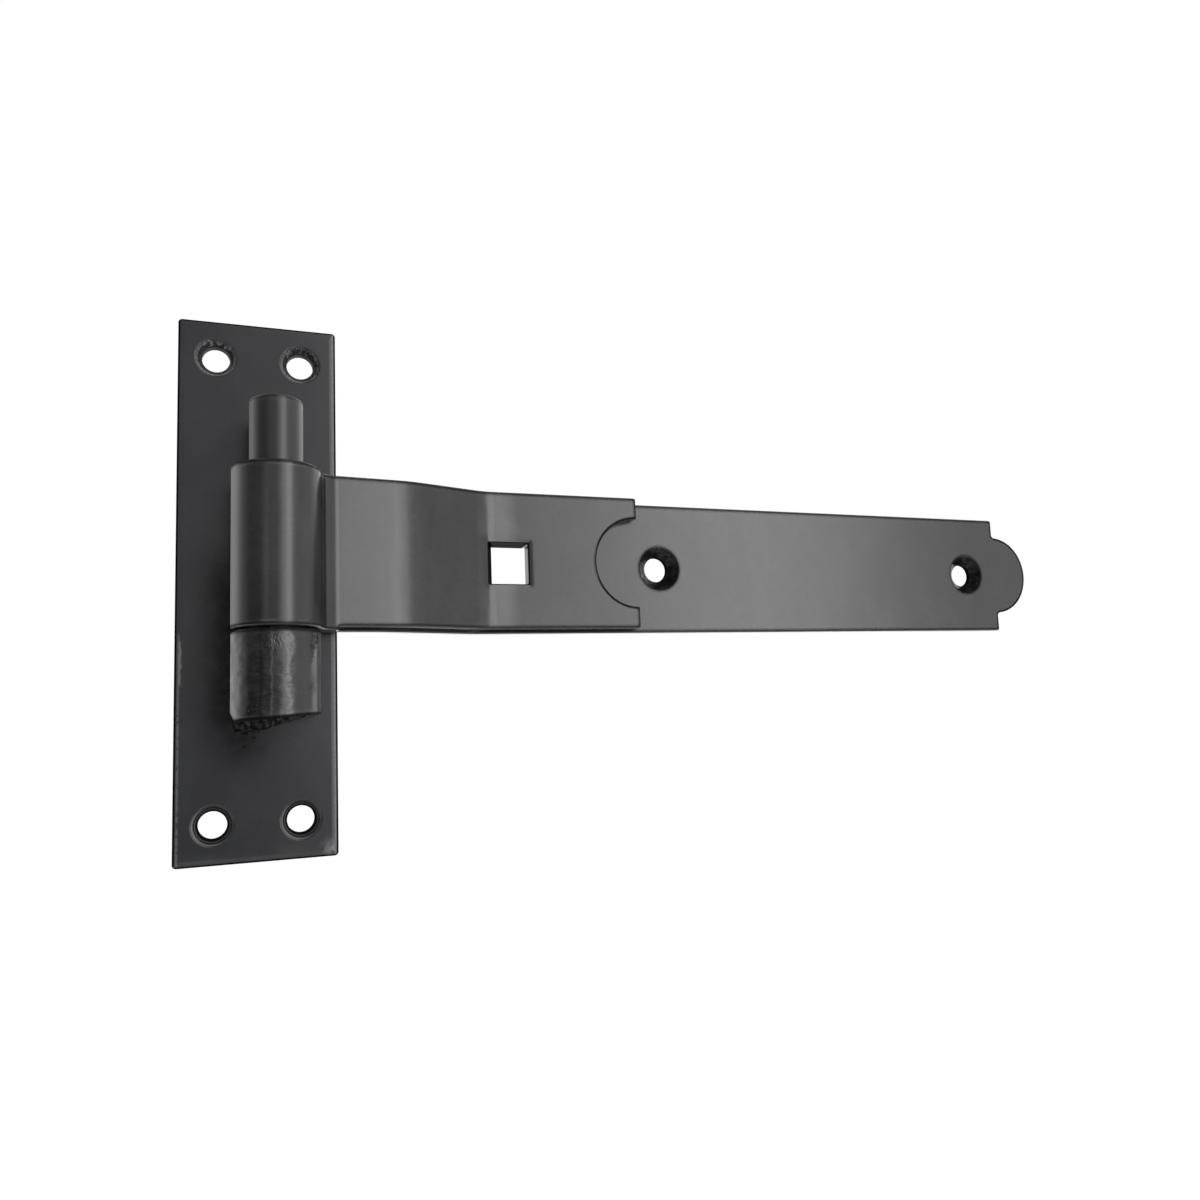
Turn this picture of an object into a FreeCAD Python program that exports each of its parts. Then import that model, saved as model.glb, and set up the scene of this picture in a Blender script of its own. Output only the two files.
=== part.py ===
import FreeCAD, Part
import math
import os
import Sketcher

from FreeCAD import Placement, Rotation, Vector

# Cranked hook and band gate hinge, in millimetres.
# Origin: centre of the four screw holes, on the back face of the hook plate.
# +X runs along the band, +Y goes into the post, +Z goes up along the pin.

# Driving dimensions, one plain number each
sizes = {
    # Hook plate
    "plate_width": 48.5,  # across
    "plate_height": 172.0,  # tall
    "plate_thickness": 5.0,
    "plate_corner": 1.2,  # corner radius of the outline
    "plate_edge": 0.7,  # rounding of the coated front edge
    "screw_inset_side": 11.25,  # post screw hole, from the plate's side
    "screw_inset_end": 12.0,  # post screw hole, from the plate's top or bottom
    "screw_hole": 8.5,  # diameter
    "screw_head": 12.6,  # countersink, diameter
    # Pin and the knuckle that carries it
    "pin_diameter": 16.0,
    "pin_across": 4.75,  # pin axis, right of the plate centre
    "pin_rise": 21.7,  # pin above the band eye
    "pin_round": 1.2,  # rounding of the pin's top edge
    "pin_seat_clearance": 0.02,  # pin in the knuckle, radial
    "knuckle_width": 26.0,  # across its flat flanks
    "knuckle_height": 27.0,  # at its left end
    "knuckle_slant": 1.5,  # rise of the sawn bottom from left to right
    "knuckle_nick": 1.2,  # bevel at the lower left corner, across
    "knuckle_nick_tall": 2.6,  # the same bevel, upwards
    "knuckle_edge": 0.7,  # bevel round the knuckle's top
    "eye_behind": 2.9,  # space between the band eye and the plate
    "eye_below": 15.5,  # bottom of the band eye, below the hole centre
    "eye_lift": 0.5,  # gap between the knuckle and the band eye
    # Weld under the knuckle
    "weld_radius": 3.2,  # first lobe
    "weld_count": 6,
    "weld_taper": 0.2,  # drop in radius from one lobe to the next
    # Band: one flat strip, rolled round the pin and folded back on itself
    "band_thickness": 5.0,
    "band_width": 48.4,
    "band_length": 315.4,  # pin axis to the rounded tip
    "band_edge": 0.5,  # bevel of the strip's long edges
    "band_corner": 0.9,  # rounding of the strip's sheared corners
    "return_length": 127.0,  # pin axis to the horns of the return leaf
    "fold_lead": 1.2,  # rise of the return leaf over the back leaf
    "eye_clearance": 0.1,  # pin in the band eye, radial
    "leaf_gap": 0.4,  # between the two leaves
    "neck_angle": 5.0,  # slope of the leaves next to the eye, degrees
    "crease_radius": 6.5,  # inside the crease beside the eye
    "crank_offset": 21.2,  # front face of the back leaf, behind the pin axis
    "back_neck_end": 30.0,  # back leaf, start of its crank
    "back_crank_end": 69.0,  # back leaf, end of its crank
    "front_neck_end": 37.0,  # return leaf, start of its crank
    "front_crank_end": 73.0,  # return leaf, end of its crank
    "crank_start_radius": 30.0,
    "crank_end_radius": 20.0,
    "tip_radius": 16.4,  # rounded tip and the matching notch
    "tip_root": 1.5,  # where the tip meets its shoulders
    # Holes in the band
    "gate_hole": 9.2,  # diameter
    "gate_head": 16.4,  # countersink, diameter
    "gate_hole_near": 138.0,  # first gate screw hole, from the pin axis
    "gate_hole_far": 32.1,  # last gate screw hole, back from the rounded tip
    "bolt_square": 14.6,  # square bolt hole, side
    "bolt_across": 77.9,  # square hole in the return leaf, from the pin axis
    "bolt_shift": 2.4,  # square hole in the back leaf, further out by this
    "bolt_corner": 0.8,  # corner radius of the square holes
    "countersink_angle": 90.0,  # included angle, degrees
}

doc = FreeCAD.newDocument("hook_and_band")
sheet = doc.addObject("Spreadsheet::Sheet", "Sizes")
for row, (alias, number) in enumerate(sizes.items(), start=1):
    sheet.set("A%d" % row, alias.replace("_", " "))
    sheet.set("B%d" % row, str(number))
    sheet.setAlias("B%d" % row, alias)
doc.recompute()

# Two places closer than this are the same place
SAME = 1e-4


def bind(item, path, formula):
    """Tie a property to the sheet; sheet names are written with a leading $."""
    item.setExpression(path, formula.replace("$", "Sizes."))


def origin_plane(body, role):
    """Return one of the body's own origin planes."""
    for feature in body.Origin.OriginFeatures:
        if feature.Role == role:
            return feature
    raise ValueError(role)


def new_body(label):
    """Make a body whose label names the sub-part and its file."""
    body = doc.addObject("PartDesign::Body", label)
    body.Label = label
    return body


def new_sketch(body, name, role, offset=None):
    """Make a sketch on an origin plane, moved along the plane's normal by a formula."""
    sketch = body.newObject("Sketcher::SketchObject", name)
    sketch.AttachmentSupport = (origin_plane(body, role), [""])
    sketch.MapMode = "FlatFace"
    if offset:
        bind(sketch, "AttachmentOffset.Base.z", offset)
    doc.recompute()
    return sketch


def dimension(sketch, kind, places, value, formula):
    """Add a driving constraint with its value, then tie it to the sheet."""
    index = sketch.addConstraint(Sketcher.Constraint(kind, *places, value))
    bind(sketch, "Constraints[%d]" % index, formula)


def line(start, end):
    return Part.LineSegment(Vector(start[0], start[1], 0), Vector(end[0], end[1], 0))


def arc(centre, radius, first, last):
    """An anticlockwise arc between two angles in degrees."""
    circle = Part.Circle(Vector(centre[0], centre[1], 0), Vector(0, 0, 1), radius)
    return Part.ArcOfCircle(circle, math.radians(first), math.radians(last))


def chain(sketch, pieces, tangent=(), backward=()):
    """Add a closed loop of pieces.

    Joints listed in tangent run on smoothly, and pieces listed in backward are
    passed from their end to their start.
    """
    first = sketch.GeometryCount
    sketch.addGeometry(pieces, False)
    count = len(pieces)
    for step in range(count):
        after = (step + 1) % count
        leave = 1 if step in backward else 2
        enter = 2 if after in backward else 1
        kind = "Tangent" if step in tangent else "Coincident"
        sketch.addConstraint(Sketcher.Constraint(kind, first + step, leave, first + after, enter))
    return first


def rectangle(sketch, low, high, formulas):
    """Add a rectangle; formulas are for left, bottom, width and height."""
    corners = [(low[0], low[1]), (high[0], low[1]), (high[0], high[1]), (low[0], high[1])]
    first = chain(sketch, [line(corners[i], corners[(i + 1) % 4]) for i in range(4)])
    for step, kind in enumerate(("Horizontal", "Vertical", "Horizontal", "Vertical")):
        sketch.addConstraint(Sketcher.Constraint(kind, first + step))
    dimension(sketch, "DistanceX", (-1, 1, first, 1), low[0], formulas[0])
    dimension(sketch, "DistanceY", (-1, 1, first, 1), low[1], formulas[1])
    dimension(sketch, "DistanceX", (first, 1, first, 2), high[0] - low[0], formulas[2])
    dimension(sketch, "DistanceY", (first + 1, 1, first + 1, 2), high[1] - low[1], formulas[3])
    return first


def circle(sketch, centre, radius, formulas):
    """Add a circle; formulas are for its centre and its radius."""
    item = Part.Circle(Vector(centre[0], centre[1], 0), Vector(0, 0, 1), radius)
    index = sketch.addGeometry(item, False)
    dimension(sketch, "DistanceX", (-1, 1, index, 3), centre[0], formulas[0])
    dimension(sketch, "DistanceY", (-1, 1, index, 3), centre[1], formulas[1])
    dimension(sketch, "Radius", (index,), radius, formulas[2])


def pad(body, name, sketch, formula):
    """Pad a sketch along its normal."""
    feature = body.newObject("PartDesign::Pad", name)
    feature.Profile = sketch
    bind(feature, "Length", formula)
    doc.recompute()
    return feature


def pocket(body, name, sketch, formula):
    """Cut a sketch against its normal and check that it removed something."""
    before = body.Tip.Shape.Volume
    feature = body.newObject("PartDesign::Pocket", name)
    feature.Profile = sketch
    bind(feature, "Length", formula)
    doc.recompute()
    if not feature.Shape.Volume < before:
        raise ValueError("%s cuts nothing" % name)
    return feature


def countersunk_holes(body, name, sketch, diameter, head):
    """Drill countersunk through holes at the sketch's circles."""
    doc.recompute()
    before = body.Tip.Shape.Volume
    feature = body.newObject("PartDesign::Hole", name)
    feature.Profile = sketch
    doc.recompute()
    feature.DepthType = "ThroughAll"
    feature.HoleCutType = "Countersink"
    bind(feature, "Diameter", diameter)
    bind(feature, "HoleCutDiameter", head)
    bind(feature, "HoleCutCountersinkAngle", "$countersink_angle")
    doc.recompute()
    if not feature.Shape.Volume < before:
        raise ValueError("%s cuts nothing" % name)
    return feature


def dress_edges(body, kind, name, wanted, formula):
    """Fillet or chamfer the edges of the body's tip that the test picks out."""
    base = body.Tip
    names = ["Edge%d" % (i + 1) for i, edge in enumerate(base.Shape.Edges) if wanted(edge)]
    if not names:
        raise ValueError("%s finds no edge" % name)
    feature = body.newObject("PartDesign::" + kind, name)
    feature.Base = (base, names)
    bind(feature, "Radius" if kind == "Fillet" else "Size", formula)
    doc.recompute()
    return feature


def lies_at(edge, axis, place):
    """True if the whole edge lies at one place along an axis (0, 1 or 2)."""
    box = edge.BoundBox
    low = (box.XMin, box.YMin, box.ZMin)[axis]
    high = (box.XMax, box.YMax, box.ZMax)[axis]
    return abs(low - place) < SAME and abs(high - place) < SAME


# Places that follow from the sizes
plate_front = -sizes["plate_thickness"]
eye_inner = sizes["pin_diameter"] / 2 + sizes["eye_clearance"]
eye_outer = eye_inner + sizes["band_thickness"]
pin_x = sizes["pin_across"]
pin_y = plate_front - sizes["eye_behind"] - eye_outer
eye_bottom = -sizes["eye_below"]
eye_height = sizes["band_width"] + sizes["fold_lead"]
knuckle_top = eye_bottom - sizes["eye_lift"]

# The same places as formulas, for the expressions
EYE_INNER = "($pin_diameter / 2 + $eye_clearance)"
EYE_OUTER = "(%s + $band_thickness)" % EYE_INNER
PIN_Y = "(-$plate_thickness - $eye_behind - %s)" % EYE_OUTER
EYE_HEIGHT = "($band_width + $fold_lead)"
BACK_LEAF = "(%s + $crank_offset)" % PIN_Y
RETURN_LEAF = "(%s - $leaf_gap - $band_thickness)" % BACK_LEAF

# Planes for cuts made from the front: between the leaves, and just before the return leaf
BETWEEN_LEAVES = "-%s + $leaf_gap / 2" % BACK_LEAF
BEFORE_RETURN_LEAF = "-%s + $leaf_gap / 2" % RETURN_LEAF


def hook_plate():
    """A rectangular plate with four countersunk corner holes."""
    body = new_body("hook_plate")
    half_width = sizes["plate_width"] / 2
    half_height = sizes["plate_height"] / 2
    outline = new_sketch(body, "plate_outline", "XZ_Plane")
    rectangle(outline, (-half_width, -half_height), (half_width, half_height),
              ("-$plate_width / 2", "-$plate_height / 2", "$plate_width", "$plate_height"))
    pad(body, "plate_blank", outline, "$plate_thickness")
    dress_edges(body, "Fillet", "plate_corners", lambda edge: not lies_across(edge), "$plate_corner")
    marks = new_sketch(body, "plate_screw_marks", "XZ_Plane", "$plate_thickness")
    across = half_width - sizes["screw_inset_side"]
    tall = half_height - sizes["screw_inset_end"]
    for side in (-1, 1):
        for level in (-1, 1):
            circle(marks, (side * across, level * tall), sizes["screw_hole"] / 2,
                   ("%d * ($plate_width / 2 - $screw_inset_side)" % side,
                    "%d * ($plate_height / 2 - $screw_inset_end)" % level, "$screw_hole / 2"))
    countersunk_holes(body, "plate_screw_holes", marks, "$screw_hole", "$screw_head")
    head = sizes["screw_head"]
    dress_edges(body, "Fillet", "plate_edges",
                lambda edge: lies_at(edge, 1, plate_front) and not is_ring(edge, head), "$plate_edge")
    return body


def lies_across(edge):
    """True if the whole edge lies at one place along Y."""
    return edge.BoundBox.YLength < SAME


def is_ring(edge, diameter):
    """True for a round edge of the given diameter."""
    return edge.Curve.TypeId == "Part::GeomCircle" and abs(edge.Curve.Radius - diameter / 2) < SAME


def pin():
    """A plain round bar from the foot of the knuckle to above the eye."""
    body = new_body("pin")
    section = new_sketch(body, "pin_section", "XY_Plane",
                         "-$eye_below - $eye_lift - $knuckle_height + $knuckle_slant")
    circle(section, (pin_x, pin_y), sizes["pin_diameter"] / 2,
           ("$pin_across", PIN_Y, "$pin_diameter / 2"))
    pad(body, "pin_bar", section,
        "$knuckle_height - $knuckle_slant + $eye_lift + %s + $pin_rise" % EYE_HEIGHT)
    top = eye_bottom + eye_height + sizes["pin_rise"]
    dress_edges(body, "Fillet", "pin_top", lambda edge: lies_at(edge, 2, top), "$pin_round")
    return body


def knuckle():
    """A block with a round front and flat flanks that holds the pin off the plate."""
    body = new_body("knuckle")
    half = sizes["knuckle_width"] / 2
    outline = new_sketch(body, "knuckle_outline", "XY_Plane", "-$eye_below - $eye_lift")
    pieces = [
        arc((pin_x, pin_y), half, 180, 360),
        line((pin_x + half, pin_y), (pin_x + half, plate_front)),
        line((pin_x + half, plate_front), (pin_x - half, plate_front)),
        line((pin_x - half, plate_front), (pin_x - half, pin_y)),
    ]
    first = chain(outline, pieces, tangent=(0, 3))
    outline.addConstraint(Sketcher.Constraint("Horizontal", first + 2))
    outline.addConstraint(Sketcher.Constraint("Vertical", first + 1))
    dimension(outline, "DistanceX", (-1, 1, first, 3), pin_x, "$pin_across")
    dimension(outline, "DistanceY", (-1, 1, first, 3), pin_y, PIN_Y)
    dimension(outline, "Radius", (first,), half, "$knuckle_width / 2")
    dimension(outline, "DistanceY", (-1, 1, first + 2, 1), plate_front, "-$plate_thickness")
    circle(outline, (pin_x, pin_y), sizes["pin_diameter"] / 2 + sizes["pin_seat_clearance"],
           ("$pin_across", PIN_Y, "$pin_diameter / 2 + $pin_seat_clearance"))
    blank = pad(body, "knuckle_blank", outline, "$knuckle_height")
    blank.Reversed = True
    doc.recompute()
    saw_cut(body)
    dress_edges(body, "Chamfer", "knuckle_top_edge",
                lambda edge: lies_at(edge, 2, knuckle_top) and is_ring(edge, sizes["knuckle_width"]),
                "$knuckle_edge")
    return body


def saw_cut(body):
    """Slant the bottom of the knuckle and bevel its lower left corner."""
    half = sizes["knuckle_width"] / 2
    foot = knuckle_top - sizes["knuckle_height"]
    left = pin_x - half
    right = pin_x + half
    nick = sizes["knuckle_nick"]
    tall = sizes["knuckle_nick_tall"]
    below = foot - tall
    sketch = new_sketch(body, "knuckle_saw_line", "XZ_Plane", "-%s + $knuckle_width" % PIN_Y)
    corners = [
        (left, foot + tall),
        (left + nick, foot),
        (right, foot + sizes["knuckle_slant"]),
        (right, below),
        (left, below),
    ]
    first = chain(sketch, [line(corners[i], corners[(i + 1) % 5]) for i in range(5)])
    foot_formula = "-$eye_below - $eye_lift - $knuckle_height"
    formulas = [
        ("$pin_across - $knuckle_width / 2", foot_formula + " + $knuckle_nick_tall"),
        ("$pin_across - $knuckle_width / 2 + $knuckle_nick", foot_formula),
        ("$pin_across + $knuckle_width / 2", foot_formula + " + $knuckle_slant"),
        ("$pin_across + $knuckle_width / 2", foot_formula + " - $knuckle_nick_tall"),
        ("$pin_across - $knuckle_width / 2", foot_formula + " - $knuckle_nick_tall"),
    ]
    for step, (place, formula) in enumerate(zip(corners, formulas)):
        dimension(sketch, "DistanceX", (-1, 1, first + step, 1), place[0], formula[0])
        dimension(sketch, "DistanceY", (-1, 1, first + step, 1), place[1], formula[1])
    pocket(body, "knuckle_saw_cut", sketch, "-%s + $knuckle_width * 2" % PIN_Y)


def weld_bead(plate, block):
    """A row of overlapping lobes in the corner under the knuckle."""
    lobes = []
    count = int(sizes["weld_count"])
    for step in range(count):
        lobe = doc.addObject("Part::Sphere", "weld_lobe_%d" % (step + 1))
        bind(lobe, "Radius", "$weld_radius - %d * $weld_taper" % step)
        share = "(%d + 0.5) / $weld_count" % step
        bind(lobe, "Placement.Base.x",
             "$pin_across - $knuckle_width / 2 + $knuckle_width * %s" % share)
        bind(lobe, "Placement.Base.y", "-$plate_thickness")
        bind(lobe, "Placement.Base.z",
             "-$eye_below - $eye_lift - $knuckle_height + $knuckle_slant * %s" % share)
        lobes.append(lobe)
    row = doc.addObject("Part::MultiFuse", "weld_row")
    row.Shapes = lobes
    front = doc.addObject("Part::Cut", "weld_front")
    front.Base = row
    front.Tool = plate
    bead = doc.addObject("Part::Cut", "weld_bead")
    bead.Label = "weld_bead"
    bead.Base = front
    bead.Tool = block
    doc.recompute()
    return bead


def unit(angle):
    """Direction along a slope, and the direction to its left."""
    turn = math.radians(angle)
    return Vector(math.cos(turn), math.sin(turn), 0), Vector(-math.sin(turn), math.cos(turn), 0)


def crank(start, slope, finish, start_radius, end_radius):
    """Two bends and the straight between them, from a slope to a line along X.

    The straight is the inner common tangent of the two bend circles.
    """
    first = start + unit(slope)[1] * start_radius
    second = finish - Vector(0, end_radius, 0)
    span = second - first
    lean = math.asin((start_radius + end_radius) / span.Length)
    steep = math.degrees(math.atan2(span.y, span.x) + lean)
    left = unit(steep)[1]
    return {
        "start_bend": arc(first, start_radius, slope - 90, steep - 90),
        "straight": line(second + left * end_radius, first - left * start_radius),
        "end_bend": arc(second, end_radius, 90, 90 + steep),
    }


def fold_path(body):
    """The strip's inner face seen from above: back leaf, eye, crease and return leaf."""
    thick = sizes["band_thickness"]
    slope = sizes["neck_angle"]
    along, left = unit(slope)
    radius = eye_inner
    centre = Vector(pin_x, pin_y, 0)
    bend = sizes["crease_radius"] + thick
    gap = sizes["leaf_gap"]
    start_radius = sizes["crank_start_radius"]
    end_radius = sizes["crank_end_radius"]

    side = radius - gap - bend
    crease = along * math.sqrt((radius + bend) ** 2 - side ** 2) + left * side
    crease_angle = math.degrees(math.atan2(crease.y, crease.x))

    def on_neck(reach, away):
        """Point of a neck line at a distance along X from the pin axis."""
        foot = left * away
        return foot + along * ((reach - foot.x) / along.x)

    back_start = on_neck(sizes["back_neck_end"], radius)
    front_start = on_neck(sizes["front_neck_end"], radius - gap)
    back_finish = Vector(sizes["back_crank_end"], sizes["crank_offset"], 0)
    front_finish = Vector(sizes["front_crank_end"], sizes["crank_offset"] - gap, 0)
    back = crank(back_start, slope, back_finish, start_radius, end_radius)
    front = crank(front_start, slope, front_finish, start_radius + thick, end_radius + thick)
    tip = Vector(sizes["band_length"], sizes["crank_offset"], 0)
    horn = Vector(sizes["return_length"], sizes["crank_offset"] - gap, 0)

    pieces = [
        line(tip, back_finish),
        back["end_bend"],
        back["straight"],
        back["start_bend"],
        line(back_start, left * radius),
        arc((0, 0), radius, 90 + slope, 360 + crease_angle),
        arc(crease, bend, 90 + slope, 180 + crease_angle),
        line(crease + left * bend, front_start),
        front["start_bend"],
        front["straight"],
        front["end_bend"],
        line(front_finish, horn),
    ]
    for piece in pieces:
        piece.translate(centre)
    sketch = new_sketch(body, "fold_path", "XY_Plane", "-$eye_below")
    sketch.addGeometry(pieces, False)
    joints = [
        (0, 2, 1, 1), (1, 2, 2, 1), (2, 2, 3, 2), (3, 1, 4, 1), (4, 2, 5, 1), (5, 2, 6, 2),
        (6, 1, 7, 1), (7, 2, 8, 1), (8, 2, 9, 2), (9, 1, 10, 2), (10, 1, 11, 1),
    ]
    for joint in joints:
        sketch.addConstraint(Sketcher.Constraint("Tangent", *joint))
    sketch.addConstraint(Sketcher.Constraint("Horizontal", 0))
    sketch.addConstraint(Sketcher.Constraint("Horizontal", 11))
    sketch.addConstraint(Sketcher.Constraint("Parallel", 4, 7))
    dimension(sketch, "DistanceX", (-1, 1, 5, 3), pin_x, "$pin_across")
    dimension(sketch, "DistanceY", (-1, 1, 5, 3), pin_y, PIN_Y)
    dimension(sketch, "Radius", (5,), radius, EYE_INNER)
    dimension(sketch, "Radius", (6,), bend, "$crease_radius + $band_thickness")
    dimension(sketch, "Radius", (1,), end_radius, "$crank_end_radius")
    dimension(sketch, "Radius", (3,), start_radius, "$crank_start_radius")
    dimension(sketch, "Radius", (8,), start_radius + thick, "$crank_start_radius + $band_thickness")
    dimension(sketch, "Radius", (10,), end_radius + thick, "$crank_end_radius + $band_thickness")
    dimension(sketch, "Distance", (7, 1, 4), gap, "$leaf_gap")
    dimension(sketch, "DistanceY", (5, 3, 0, 2), sizes["crank_offset"], "$crank_offset")
    dimension(sketch, "DistanceY", (5, 3, 11, 1), sizes["crank_offset"] - gap,
              "$crank_offset - $leaf_gap")
    for place, alias in (((0, 1), "band_length"), ((0, 2), "back_crank_end"),
                         ((4, 1), "back_neck_end"), ((7, 2), "front_neck_end"),
                         ((11, 1), "front_crank_end"), ((11, 2), "return_length")):
        dimension(sketch, "DistanceX", (5, 3) + place, sizes[alias], "$" + alias)
    turn = math.radians(slope)
    index = sketch.addConstraint(Sketcher.Constraint("Angle", -1, 1, 4, 2, turn))
    bind(sketch, "Constraints[%d]" % index, "$neck_angle * 1 deg")
    doc.recompute()
    return sketch


def strip_section(body, low, high, formulas):
    """The strip's end seen along X: a rectangle with bevelled corners, from low to high in Z."""
    near = pin_y + sizes["crank_offset"]
    far = near + sizes["band_thickness"]
    edge = sizes["band_edge"]
    sketch = new_sketch(body, "strip_section", "YZ_Plane", "$pin_across + $band_length")
    corners = [
        (near + edge, low), (far - edge, low), (far, low + edge), (far, high - edge),
        (far - edge, high), (near + edge, high), (near, high - edge), (near, low + edge),
    ]
    first = chain(sketch, [line(corners[i], corners[(i + 1) % 8]) for i in range(8)])
    for step in (0, 4):
        sketch.addConstraint(Sketcher.Constraint("Horizontal", first + step))
    for step in (2, 6):
        sketch.addConstraint(Sketcher.Constraint("Vertical", first + step))
    for step, across, upward in ((1, 1, 1), (3, -1, 1), (5, -1, -1), (7, 1, -1)):
        bevel(sketch, first + step, across, upward)
    dimension(sketch, "DistanceX", (-1, 1, first + 6, 1), near, BACK_LEAF)
    dimension(sketch, "DistanceX", (first + 6, 2, first + 2, 1), far - near, "$band_thickness")
    dimension(sketch, "DistanceY", (-1, 1, first, 1), low, formulas[0])
    dimension(sketch, "DistanceY", (first, 1, first + 4, 1), high - low, formulas[1])
    return sketch


def bevel(sketch, index, across, upward):
    """Give a corner line its run across and its rise, each one band edge long."""
    edge = sizes["band_edge"]
    dimension(sketch, "DistanceX", (index, 1, index, 2), across * edge, "%d * $band_edge" % across)
    dimension(sketch, "DistanceY", (index, 1, index, 2), upward * edge, "%d * $band_edge" % upward)


def trim_section(body, name, face, level, way, formulas):
    """What is taken off a leaf's long edge: all beyond a level, with bevelled corners left on.

    The way is 1 for a top edge and -1 for a bottom edge. The formulas are for the section's
    place along X, the leaf's near face and the level.
    """
    edge = sizes["band_edge"]
    spare = sizes["leaf_gap"] / 4
    root = level - way * edge
    reach = level + way * 2 * sizes["fold_lead"]
    near = face
    far = face + sizes["band_thickness"]
    sketch = new_sketch(body, name, "YZ_Plane", formulas[0])
    corners = [
        (near - spare, reach), (near - spare, root), (near, root), (near + edge, level),
        (far - edge, level), (far, root), (far + spare, root), (far + spare, reach),
    ]
    first = chain(sketch, [line(corners[i], corners[(i + 1) % 8]) for i in range(8)])
    for step in (1, 3, 5, 7):
        sketch.addConstraint(Sketcher.Constraint("Horizontal", first + step))
    for step in (0, 6):
        sketch.addConstraint(Sketcher.Constraint("Vertical", first + step))
    bevel(sketch, first + 2, 1, way)
    bevel(sketch, first + 4, 1, -way)
    dimension(sketch, "DistanceX", (-1, 1, first + 1, 2), near, formulas[1])
    dimension(sketch, "DistanceX", (first + 1, 2, first + 5, 1), far - near, "$band_thickness")
    dimension(sketch, "DistanceX", (first + 1, 1, first + 1, 2), spare, "$leaf_gap / 4")
    dimension(sketch, "DistanceX", (first + 5, 1, first + 5, 2), spare, "$leaf_gap / 4")
    dimension(sketch, "DistanceY", (-1, 1, first + 3, 1), level, formulas[2])
    dimension(sketch, "DistanceY", (first + 3, 1, first, 1), reach - level, "%d * $fold_lead" % (2 * way))
    return sketch


def sweep(body, kind, name, section, path, edges):
    """Carry a section along edges of the fold path."""
    feature = body.newObject("PartDesign::" + kind, name)
    feature.Profile = section
    feature.Spine = (path, ["Edge%d" % number for number in edges])
    doc.recompute()
    return feature


def rolled_strip(body):
    """The strip along its fold path, with each leaf trimmed to the strip's own width."""
    path = fold_path(body)
    section = strip_section(body, eye_bottom, eye_bottom + eye_height, ("-$eye_below", EYE_HEIGHT))
    sweep(body, "AdditivePipe", "strip", section, path, range(1, 13))
    back_leaf = pin_y + sizes["crank_offset"]
    return_leaf = back_leaf - sizes["leaf_gap"] - sizes["band_thickness"]
    top = trim_section(body, "back_leaf_trim", back_leaf, eye_bottom + sizes["band_width"], 1,
                       ("$pin_across + $band_length", BACK_LEAF, "-$eye_below + $band_width"))
    sweep(body, "SubtractivePipe", "back_leaf_top", top, path, range(1, 6))
    low = trim_section(body, "return_leaf_trim", return_leaf, eye_bottom + sizes["fold_lead"], -1,
                       ("$pin_across + $return_length", RETURN_LEAF, "-$eye_below + $fold_lead"))
    sweep(body, "SubtractivePipe", "return_leaf_foot", low, path, range(12, 7, -1))


def tip(body):
    """Cut the back leaf's end to a half round between two square shoulders."""
    radius = sizes["tip_radius"]
    root = sizes["tip_root"]
    width = sizes["band_width"]
    shoulder = pin_x + sizes["band_length"] - radius
    middle = eye_bottom + width / 2
    rise = math.sqrt((radius + root) ** 2 - root ** 2)
    lean = math.degrees(math.atan2(rise, root))
    top = middle + width
    foot = middle - width
    end = shoulder + 2 * radius
    sketch = new_sketch(body, "tip_outline", "XZ_Plane", BETWEEN_LEAVES)
    pieces = [
        line((shoulder, top), (shoulder, middle + rise)),
        arc((shoulder + root, middle + rise), root, 180, 180 + lean),
        arc((shoulder, middle), radius, -lean, lean),
        arc((shoulder + root, middle - rise), root, 180 - lean, 180),
        line((shoulder, middle - rise), (shoulder, foot)),
        line((shoulder, foot), (end, foot)),
        line((end, foot), (end, top)),
        line((end, top), (shoulder, top)),
    ]
    first = chain(sketch, pieces, tangent=(0, 1, 2, 3), backward=(2,))
    for step in (0, 4, 6):
        sketch.addConstraint(Sketcher.Constraint("Vertical", first + step))
    for step in (5, 7):
        sketch.addConstraint(Sketcher.Constraint("Horizontal", first + step))
    sketch.addConstraint(Sketcher.Constraint("Equal", first + 1, first + 3))
    dimension(sketch, "Radius", (first + 1,), root, "$tip_root")
    dimension(sketch, "Radius", (first + 2,), radius, "$tip_radius")
    place = "$pin_across + $band_length - $tip_radius"
    dimension(sketch, "DistanceX", (-1, 1, first + 2, 3), shoulder, place)
    dimension(sketch, "DistanceY", (-1, 1, first + 2, 3), middle, "-$eye_below + $band_width / 2")
    dimension(sketch, "DistanceX", (-1, 1, first, 1), shoulder, place)
    dimension(sketch, "DistanceX", (-1, 1, first + 4, 1), shoulder, place)
    dimension(sketch, "DistanceY", (first + 2, 3, first, 1), width, "$band_width")
    dimension(sketch, "DistanceY", (first + 4, 2, first + 2, 3), width, "$band_width")
    dimension(sketch, "DistanceX", (first, 1, first + 6, 1), 2 * radius, "2 * $tip_radius")
    pocket(body, "tip_cut", sketch, "$band_thickness + $leaf_gap")
    for level, way, formula in ((eye_bottom, 1, "-$eye_below"),
                                (eye_bottom + width, -1, "-$eye_below + $band_width")):
        corner(body, "tip_shoulder_%s" % ("foot" if way > 0 else "top"), BETWEEN_LEAVES,
               shoulder, level, way, place, formula)


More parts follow.
